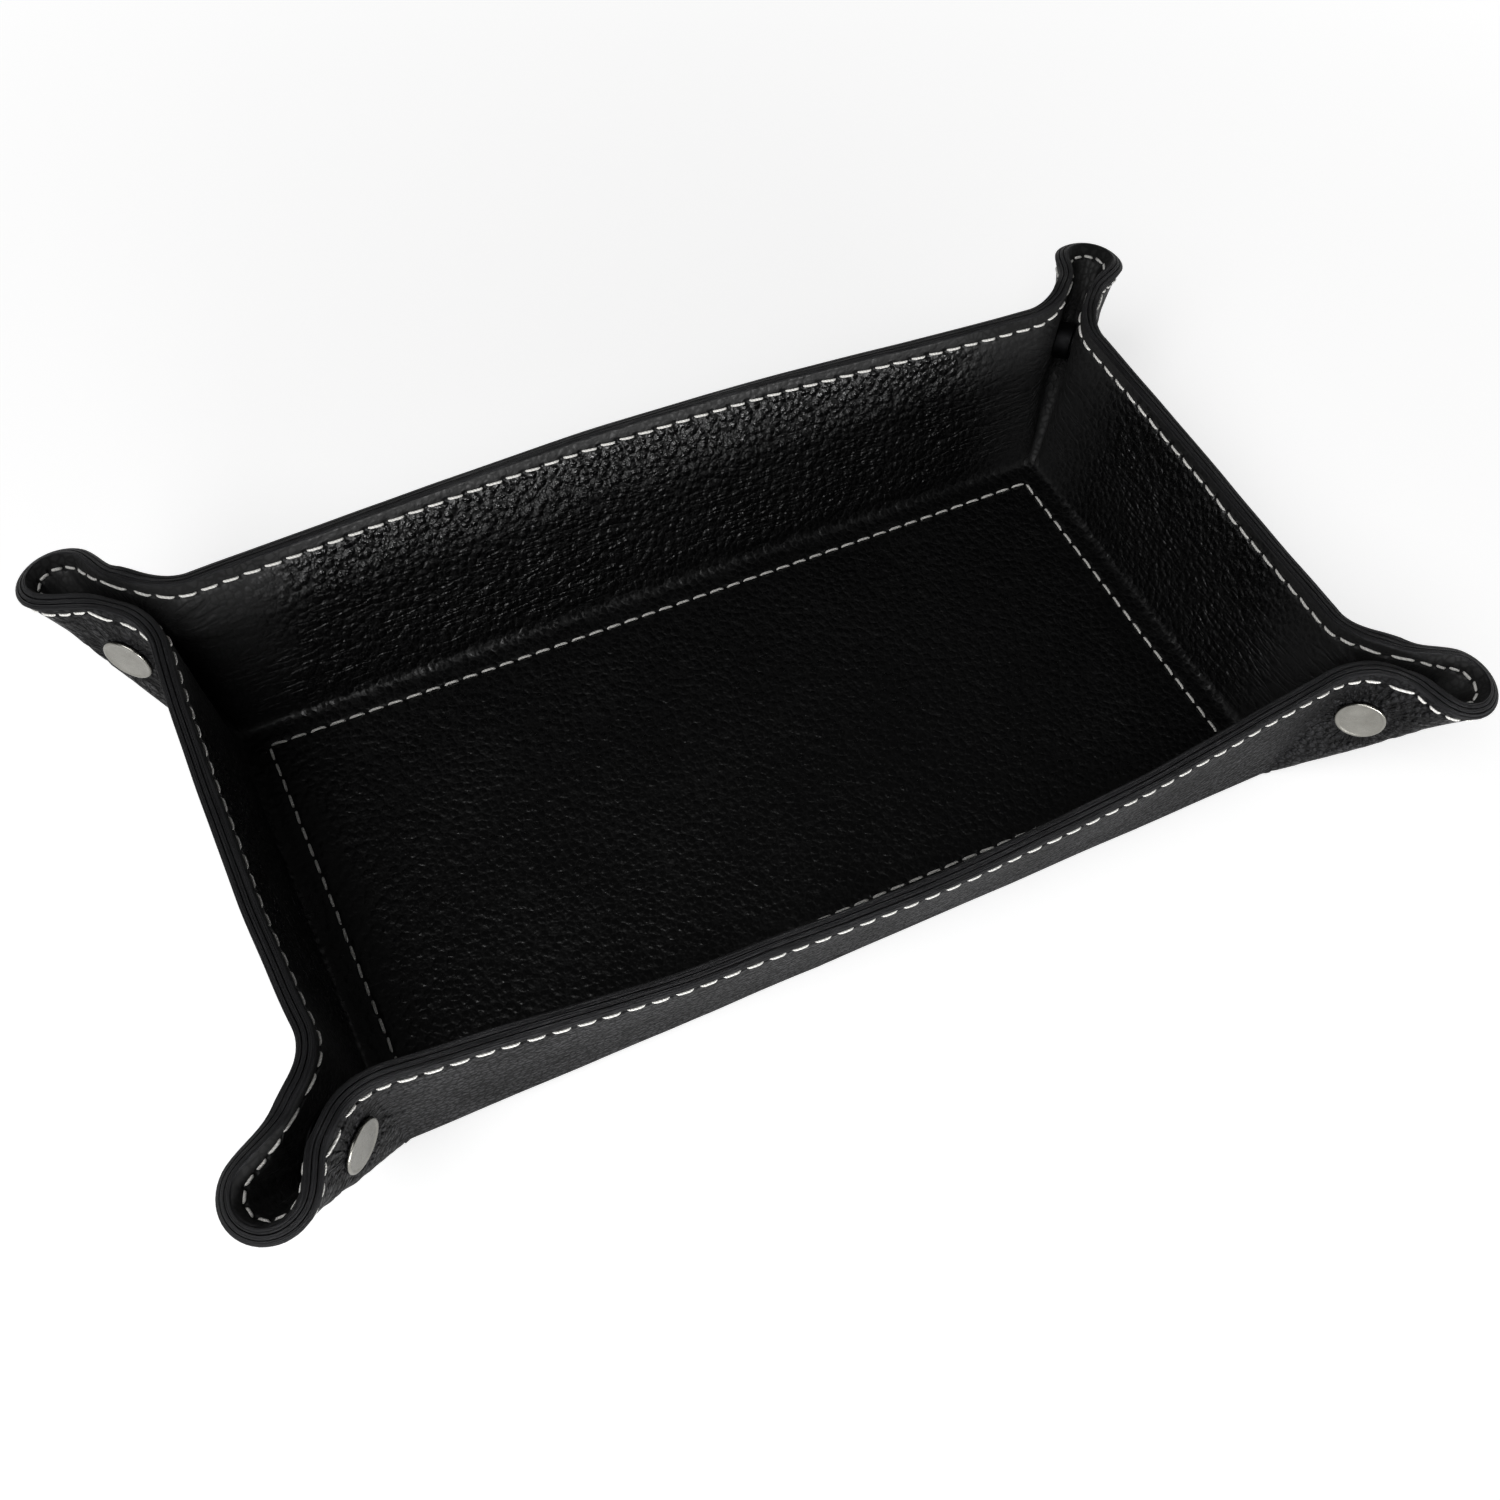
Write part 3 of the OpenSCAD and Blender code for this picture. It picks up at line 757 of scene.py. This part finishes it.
def add_vector_math(tree, operation, a, b=None):
    node = add_node(tree, "ShaderNodeVectorMath", {0: a}, operation=operation)
    if isinstance(b, tuple):
        node.inputs[1].default_value = b
    elif b is not None:
        tree.links.new(b, node.inputs[1])
    return node.outputs["Value" if operation == "LENGTH" else "Vector"]


def add_range(tree, value, low, high, to_low=0.0, to_high=1.0):
    return add_node(tree, "ShaderNodeMapRange", {"Value": value}, From_Min=low, From_Max=high,
                    To_Min=to_low, To_Max=to_high).outputs["Result"]


print("helpers ready")

# %% [markdown]
# ## The pebble grain
# Pebbled leather is a crowd of small round domes. Smooth cell noise gives such domes, with soft
# valleys where two of them meet. The same cells' distance to their edge marks the bottoms of the
# valleys, where the leather's colour is darkened as painted shade. The place is disturbed first,
# so that no two pebbles are alike, and a second, finer crowd breaks the domes up.

# %% The pebble grain group
dome_blur, dome_foot = 0.35, 0.45
fine_ratio = 2.6
valley_bottom, valley_top = 0.02, 0.2
grain_group, g_in, g_out = new_group("pebble_grain", {"Pebbles": 600.0, "Fine": 0.25, "Wander": 0.0005},
                                     ("Height", "Valley"))
wander = add_node(grain_group, "ShaderNodeTexNoise", {"Vector": g_in.outputs["Vector"]},
                  Scale=420.0, Detail=2.0)
centred = add_vector_math(grain_group, "SUBTRACT", wander.outputs["Color"], (0.5, 0.5, 0.5))
shift = add_node(grain_group, "ShaderNodeVectorMath", {0: centred, "Scale": g_in.outputs["Wander"]},
                 operation="SCALE")
moved = add_vector_math(grain_group, "ADD", g_in.outputs["Vector"], shift.outputs[0])


def cell_distance(scale, feature, **values):
    return add_node(grain_group, "ShaderNodeTexVoronoi", {"Vector": moved, "Scale": scale},
                    feature=feature, **values).outputs["Distance"]


def domes(scale):
    squared = add_math(grain_group, "POWER", cell_distance(scale, "SMOOTH_F1", Smoothness=dome_blur), 2.0)
    return add_range(grain_group, squared, 0.0, dome_foot, 1.0, 0.0)


pebbles = g_in.outputs["Pebbles"]
fine_domes = domes(times(grain_group, pebbles, fine_ratio))
height = times_plus(grain_group, fine_domes, g_in.outputs["Fine"], domes(pebbles))
grain_group.links.new(height, g_out.inputs["Height"])
to_edge = cell_distance(pebbles, "DISTANCE_TO_EDGE")
grain_group.links.new(add_range(grain_group, to_edge, valley_bottom, valley_top, 1.0, 0.0),
                      g_out.inputs["Valley"])
print(grain_group.name)

# %% The uneven tone group
tone_group, t_in, t_out = new_group("uneven_tone", {"Size": 60.0, "Low": 0.8, "High": 1.2}, ("Value",))
slow = add_node(tone_group, "ShaderNodeTexNoise",
                {"Vector": t_in.outputs["Vector"], "Scale": t_in.outputs["Size"]}, Detail=3.0, Roughness=0.6)
tone = add_node(tone_group, "ShaderNodeMapRange",
                {"Value": slow.outputs["Fac"], "To Min": t_in.outputs["Low"], "To Max": t_in.outputs["High"]},
                From_Min=0.3, From_Max=0.7)
tone_group.links.new(tone.outputs["Result"], t_out.inputs["Value"])
print(tone_group.name)


# %% Helpers that start a material
def new_material(name, color, roughness, specular=0.5, metallic=0.0):
    material = bpy.data.materials.new(name)
    material.use_nodes = True
    tree = material.node_tree
    shader = tree.nodes["Principled BSDF"]
    shader.inputs["Base Color"].default_value = (*color, 1)
    shader.inputs["Roughness"].default_value = roughness
    shader.inputs["Specular IOR Level"].default_value = specular
    shader.inputs["Metallic"].default_value = metallic
    return material, tree, shader, tree.nodes.new("ShaderNodeTexCoord").outputs["Object"]


def place_group(tree, group, vector, **values):
    node = add_node(tree, "ShaderNodeGroup", node_tree=group)
    tree.links.new(vector, node.inputs["Vector"])
    for key, value in values.items():
        node.inputs[key].default_value = value
    return node


def uneven(tree, place, size, low, high):
    return place_group(tree, tone_group, place, Size=size, Low=low, High=high).outputs["Value"]


def stretched(tree, vector, scale, turn=(0, 0, 0)):
    node = add_node(tree, "ShaderNodeMapping", {"Vector": vector})
    node.inputs["Scale"].default_value, node.inputs["Rotation"].default_value = scale, turn
    return node.outputs[0]


def uv_parts(tree, uv_map):
    """A piece's UV map, whole and split into its two directions."""
    uv = add_node(tree, "ShaderNodeUVMap", uv_map=uv_map).outputs[0]
    split = add_node(tree, "ShaderNodeSeparateXYZ", {0: uv})
    return uv, split.outputs["X"], split.outputs["Y"]


def attribute(tree, name, output="Fac"):
    return add_node(tree, "ShaderNodeAttribute", attribute_name=name).outputs[output]


def color_between(tree, factor, low, high):
    node = add_node(tree, "ShaderNodeMix", data_type="RGBA")
    node.inputs["A"].default_value, node.inputs["B"].default_value = (*low, 1), (*high, 1)
    tree.links.new(factor, node.inputs["Factor"])
    return node.outputs["Result"]


def bump(tree, height, distance, strength=1.0):
    return add_node(tree, "ShaderNodeBump", {"Height": height}, Distance=distance,
                    Strength=strength).outputs["Normal"]


print("materials can be started")

# %% [markdown]
# ## Marks on the leather
# The sewing leaves marks beside the rim seam: each stitch hole pulls the leather down, and the
# machine's foot presses the grain flat towards the edge. Where the walls bend there are level
# creases, and a fan of them runs round each snap. Each mark is a value from 0 to 1, read from the
# piece's own UV map, in metres, or from what was stored on its vertices.


# %% Valleys, stitch holes and pressed grain
def valleys(tree, vector, scale, width):
    """Narrow valleys where a noise crosses its middle: 1 at the bottom of a valley, 0 away from it."""
    wave = add_node(tree, "ShaderNodeTexNoise", {"Vector": vector}, Scale=scale, Detail=2.0)
    off_middle = add_math(tree, "ABSOLUTE", add_math(tree, "SUBTRACT", wave.outputs["Fac"], 0.5))
    return add_node(tree, "ShaderNodeMapRange", {"Value": off_middle}, interpolation_type="SMOOTHSTEP",
                    From_Max=width, To_Min=1.0, To_Max=0.0).outputs["Result"]


def stitch_holes(tree, along, down):
    beat = times(tree, along, math.tau / (rim_step * MM))
    wave = times_plus(tree, add_math(tree, "COSINE", beat), 0.5, 0.5)
    off_seam = add_math(tree, "ABSOLUTE", add_math(tree, "SUBTRACT", down, rim_seam_inset * MM))
    return times(tree, add_math(tree, "POWER", wave, 6.0),
                 add_range(tree, off_seam, 0.0002, 0.0009, 1.0, 0.0))


def grain_left(tree, down):
    """The share of the grain that is left: little beside the edge, less over the fold and the floor."""
    folded = add_range(tree, down, 0.036, 0.043, 1.0, 0.3)
    on_floor = add_range(tree, down, 0.049, 0.056, 0.0, 0.5)
    return times(tree, add_range(tree, down, 0.0022, 0.0044, 0.2, 1.0),
                 add_math(tree, "MAXIMUM", folded, on_floor))


print("stitch holes every", round(float(rim_step), 2), "mm")


# %% Level creases and the fan round a snap
def wall_creases(tree, uv, down, tone):
    on_wall = times(tree, add_range(tree, down, 0.007, 0.02), add_range(tree, down, 0.034, 0.042, 1.0, 0.0))
    return times(tree, valleys(tree, stretched(tree, uv, (0.22, 1.0, 1.0)), 380.0, 0.08),
                 times(tree, on_wall, tone))


def snap_fan(tree):
    distance = attribute(tree, "from_snap")
    near = times(tree, add_range(tree, distance, 5.5, 6.5), add_range(tree, distance, 7.0, 18.0, 1.0, 0.0))
    way = add_node(tree, "ShaderNodeSeparateXYZ", {0: attribute(tree, "snap_way", "Vector")})
    outward_step = times_plus(tree, distance, 0.035, way.outputs["Z"])
    fan = add_node(tree, "ShaderNodeCombineXYZ",
                   {0: way.outputs["X"], 1: way.outputs["Y"], 2: outward_step})
    return times(tree, valleys(tree, fan.outputs[0], 3.6, 0.1), near)


print("creases reach 18 mm from a snap")

# %% [markdown]
# ## Black pebbled leather
# The same hide is used on both faces. Outside, its grain is finer and its pebble tops are a dull
# grey, partly wear and partly painted sheen. Inside, the pebbles are larger, blacker and shinier,
# and smoothest in a band under the rim where things rub. On both the colour is darkened in the
# valleys and in the creases round a snap as painted shade, and the pebbles are drawn out a little
# up the walls. Deep in the pinch of an ear the lining is drawn flat and dull, while the outer
# leather bunches up.


# %% The leather finish
def leather(name, color, wear_and_sheen, roughness, specular, pebbles, depth, level_creases, snap_creases,
            pinched, rubbed):
    material, tree, shader, place = new_material(name, color, roughness, specular)
    uv, along, down = uv_parts(tree, "along_and_from_edge")
    grain = place_group(tree, grain_group, stretched(tree, place, (1.0, 1.0, 0.9)), Pebbles=pebbles)
    tone = uneven(tree, place, 45.0, 0.0, 1.0)
    pinch = attribute(tree, "in_pinch")
    spokes = snap_fan(tree)
    hollow = add_math(tree, "MAXIMUM", grain.outputs["Valley"], spokes)

    # Painted shade: the colour is darkened in the pebble valleys and in the creases round a snap. The lighter
    # colour on the tops is partly wear and partly painted sheen.
    tops = add_math(tree, "MULTIPLY_ADD", hollow, -0.9, times_plus(tree, tone, 0.5, 0.5), clamp=True)
    tree.links.new(color_between(tree, tops, color, wear_and_sheen), shader.inputs["Base Color"])

    rough = times_plus(tree, hollow, 0.2, roughness)
    rough = times_plus(tree, tone, -0.1, rough)
    for value, low, high, at_low, at_high in ((down, 0.0022, 0.0038, 0.25, 0.0),
                                              (down, 0.004, 0.022, -rubbed, 0.0),
                                              (pinch, 0.0, 1.0, 0.0, 0.45 * (1 - pinched))):
        rough = add_math(tree, "ADD", add_range(tree, value, low, high, at_low, at_high), rough)
    tree.links.new(rough, shader.inputs["Roughness"])

    left = times(tree, grain_left(tree, down), add_range(tree, pinch, 0.0, 1.0, 1.0, pinched))
    height = times(tree, grain.outputs["Height"], left)
    for mark, cut in ((stitch_holes(tree, along, down), 1.3),
                      (wall_creases(tree, uv, down, tone), level_creases), (spokes, snap_creases)):
        height = times_plus(tree, mark, -cut, height)
    tree.links.new(bump(tree, height, depth), shader.inputs["Normal"])
    return material


# The darker colour is the painted shade of the valleys; the lighter one is partly wear and partly painted
# sheen on the tops.
outer_finish = leather("black_outer_leather", color=(0.002, 0.002, 0.0022), wear_and_sheen=(0.0165, 0.0165, 0.018),
                       roughness=0.50, specular=0.1, pebbles=740.0, depth=0.0005,
                       level_creases=0.4, snap_creases=1.0, pinched=1.15, rubbed=0.0)
lining_finish = leather("black_lining_leather", color=(0.0006, 0.0006, 0.0007), wear_and_sheen=(0.0018, 0.0018, 0.0020),
                        roughness=0.34, specular=0.55, pebbles=600.0, depth=0.00042,
                        level_creases=0.9, snap_creases=0.6, pinched=0.15, rubbed=0.07)
print(outer_finish.name, lining_finish.name)

# %% [markdown]
# ## The painted edge
# The cut edge of the three plies is sanded and painted. The brush leaves fine lines that run along
# the rim, and the joints between the plies show through. The place across the edge was stored on
# every vertex, so the lines can follow the rim round the loops.

# %% The edge finish
edge_finish, tree, shader, place = new_material("painted_edge", (0.02, 0.02, 0.022), 0.48, 0.22)
_, along, _ = uv_parts(tree, "along_and_from_edge")
strip = add_node(tree, "ShaderNodeCombineXYZ",
                 {0: times(tree, along, 55.0),
                  1: times(tree, attribute(tree, "across_edge"), 5.5)})
lines = add_node(tree, "ShaderNodeTexNoise", {"Vector": strip.outputs[0]},
                 Scale=1.0, Detail=4.0, Roughness=0.62)
streak = add_range(tree, lines.outputs["Fac"], 0.35, 0.68)
tree.links.new(color_between(tree, streak, (0.003, 0.003, 0.0035), (0.020, 0.020, 0.022)),
               shader.inputs["Base Color"])
relief = times_plus(tree, uneven(tree, place, 900.0, 0.0, 1.0), 0.3, streak)
tree.links.new(bump(tree, relief, 0.00022), shader.inputs["Normal"])
tree.links.new(add_range(tree, streak, 0.0, 1.0, 0.6, 0.42), shader.inputs["Roughness"])
print(edge_finish.name)

# %% [markdown]
# ## Waxed thread
# The thread is two strands twisted together. A slanting wave over the sphere's own UV map gives
# the twist, in the colour's faint shadow lines and in the bump.

# %% The thread finish
thread_finish, tree, shader, place = new_material("white_thread", (0.70, 0.69, 0.66), 0.55, 0.35)
shader.inputs["Sheen Weight"].default_value = 0.15
_, around_thread, along_thread = uv_parts(tree, "thread")
twist = times_plus(tree, along_thread, 5.0, around_thread)
strand = add_math(tree, "ABSOLUTE", add_math(tree, "SINE", times(tree, twist, math.tau)))
tree.links.new(color_between(tree, strand, (0.56, 0.55, 0.52), (0.76, 0.75, 0.72)),
               shader.inputs["Base Color"])
fuzz = uneven(tree, place, 4000.0, 0.0, 0.35)
tree.links.new(bump(tree, add_math(tree, "ADD", strand, fuzz), 0.00005), shader.inputs["Normal"])
print(thread_finish.name)

# %% [markdown]
# ## Satin nickel, and steel painted dark as shade
# Plated steel is a metal with a warm pale grey colour. Handling leaves it hazy: the roughness
# drifts, and very fine scratches cross it. The sockets and studs inside the pinch don't shine in
# the photograph, so they are the same steel with its colour painted near black, as painted shade.


# %% The metal finishes
def steel(name, low, high, least_haze, most_haze):
    material, tree, shader, place = new_material(name, high, least_haze, metallic=1.0)
    tree.links.new(uneven(tree, place, 700.0, least_haze, most_haze), shader.inputs["Roughness"])
    tree.links.new(color_between(tree, uneven(tree, place, 260.0, 0.0, 1.0), low, high),
                   shader.inputs["Base Color"])
    scratch = stretched(tree, place, (6000, 500, 500), (0.4, 0.9, 0.3))
    fine = add_node(tree, "ShaderNodeTexNoise", {"Vector": scratch}, Scale=1.0, Detail=2.0)
    tree.links.new(bump(tree, fine.outputs["Fac"], 0.00001, 0.6), shader.inputs["Normal"])
    return material


nickel_finish = steel("satin_nickel", (0.23, 0.224, 0.203), (0.30, 0.293, 0.268), 0.20, 0.34)
# Sockets and studs: the steel's colour is painted near black, as painted shade inside the pinch.
steel_dark_as_shade = steel("steel_painted_dark_as_shade", (0.006, 0.006, 0.006), (0.015, 0.015, 0.016), 0.5, 0.65)
print(nickel_finish.name, steel_dark_as_shade.name)

# %% [markdown]
# ## Fibre board
# The stiff panel inside the floor is never seen, but it still has a finish: pressed fibres in a
# dull brown grey, with specks.

# %% The board finish
board_finish, tree, shader, place = new_material("fibre_board", (0.1, 0.095, 0.09), 0.85, 0.2)
fibres = add_node(tree, "ShaderNodeTexNoise", {"Vector": stretched(tree, place, (900, 250, 900))},
                  Scale=1.0, Detail=5.0)
tree.links.new(color_between(tree, add_range(tree, fibres.outputs["Fac"], 0.3, 0.7),
                             (0.07, 0.064, 0.058), (0.16, 0.15, 0.135)), shader.inputs["Base Color"])
tree.links.new(bump(tree, fibres.outputs["Fac"], 0.0002), shader.inputs["Normal"])
print(board_finish.name)


# %% Give each piece its finish
def dress(piece, *materials):
    for material in materials:
        piece.data.materials.append(material)


dress(outer_hide, outer_finish, edge_finish)
dress(lining_hide, lining_finish, edge_finish)
dress(middle_ply, board_finish, edge_finish)
for piece in stitching:
    dress(piece, thread_finish)
for piece in snap_pieces:
    dress(piece, nickel_finish if "_cap_" in piece.name else steel_dark_as_shade)
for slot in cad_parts["base_board"].material_slots:
    slot.material = board_finish

# %% [markdown]
# ## Surroundings and light
# The photograph shows the tray on plain white. The floor is white, and rays from the camera see it
# a little brighter than the light makes it, so that it fades to white but keeps a soft shadow.
# Reflections see it so too, but dim close beside the tray, where the tray's own shadow lies.
# The walls of the room are white and its ceiling is dim, so that the tray's outer sides are grey
# and its inside stays black, but the camera sees plain white behind the tray from every side. A
# low lamp in front picks out the grain, and one above lights the rim.

# %% The floor
bm = bmesh.new()
bmesh.ops.create_grid(bm, x_segments=8, y_segments=8, size=3)
bmesh.ops.translate(bm, verts=bm.verts, vec=(0, 0, -0.0002))
floor = to_scene(bm, "floor")
floor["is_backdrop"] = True


def background_rays(tree, path):
    """1 for the rays that show the background itself: from the camera, or through something clear."""
    return add_math(tree, "MAXIMUM", path.outputs["Is Camera Ray"], path.outputs["Is Transmission Ray"])


floor_glow, shadow_share = 0.56, 0.1
floor_finish, tree, shader, place = new_material("white_floor", (0.86, 0.86, 0.86), 0.9, 0.1)
path = tree.nodes.new("ShaderNodeLightPath")
outside = add_vector_math(tree, "SUBTRACT", add_vector_math(tree, "ABSOLUTE", place), (*(base * MM), 0))
beside = add_vector_math(tree, "LENGTH", add_vector_math(tree, "MAXIMUM", outside))
mirrored = times(tree, path.outputs["Is Glossy Ray"],
                 add_range(tree, beside, 0.005, 0.03, shadow_share, 1.0))
seen = add_math(tree, "MAXIMUM", background_rays(tree, path), mirrored)
shader.inputs["Emission Color"].default_value = (1, 1, 1, 1)
tree.links.new(times(tree, seen, floor_glow), shader.inputs["Emission Strength"])
from_tray = add_vector_math(tree, "LENGTH", place)
far = times(tree, add_range(tree, from_tray, 0.14, 0.4), seen)
plain_white = add_node(tree, "ShaderNodeEmission")
fading = add_node(tree, "ShaderNodeMixShader", {0: far, 1: shader.outputs[0], 2: plain_white.outputs[0]})
tree.links.new(fading.outputs[0], tree.nodes["Material Output"].inputs["Surface"])
floor.data.materials.append(floor_finish)
print(floor_finish.name)

# %% White walls and a dim ceiling
ceiling_from, ceiling_glow = 0.4, 0.04
world = bpy.data.worlds.new("world")
bpy.context.scene.world = world
world.use_nodes = True
tree = world.node_tree
background = tree.nodes["Background"]
background.inputs["Color"].default_value = (1, 1, 1, 1)
sky = tree.nodes.new("ShaderNodeTexCoord").outputs["Generated"]
upward = add_node(tree, "ShaderNodeSeparateXYZ", {0: sky}).outputs["Z"]
seen = background_rays(tree, tree.nodes.new("ShaderNodeLightPath"))
glow = add_math(tree, "MAXIMUM", add_range(tree, upward, 0.0, ceiling_from, 1.0, ceiling_glow), seen)
tree.links.new(glow, background.inputs["Strength"])
print(world.name)


# %% Two soft lamps
def soft_lamp(name, place, target, size, watts):
    data = bpy.data.lights.new(name, "AREA")
    data.shape = "RECTANGLE"
    data.size, data.size_y = size
    data.energy = watts
    lamp = bpy.data.objects.new(name, data)
    away = Vector(place) - Vector(target)
    lamp.matrix_world = Matrix.Translation(place) @ away.to_track_quat("Z", "Y").to_matrix().to_4x4()
    bpy.context.scene.collection.objects.link(lamp)


soft_lamp("key", (-0.2, -1.3, 0.12), (0, 0, 0.02), (0.9, 0.18), 18)
soft_lamp("top", (-0.75, -0.6, 1.1), (0, 0, 0), (0.9, 0.9), 12)
bpy.context.scene.view_settings.view_transform = "Standard"
print("lamps:", len(bpy.data.lights))

# %% Print the sizes of the frame and the scene
visual_box = [list(corner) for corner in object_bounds()]
for label, corners in (("frame", frame_box), ("visual", visual_box)):
    print(label, [[round(c * 1000, 1) for c in corner] for corner in corners])
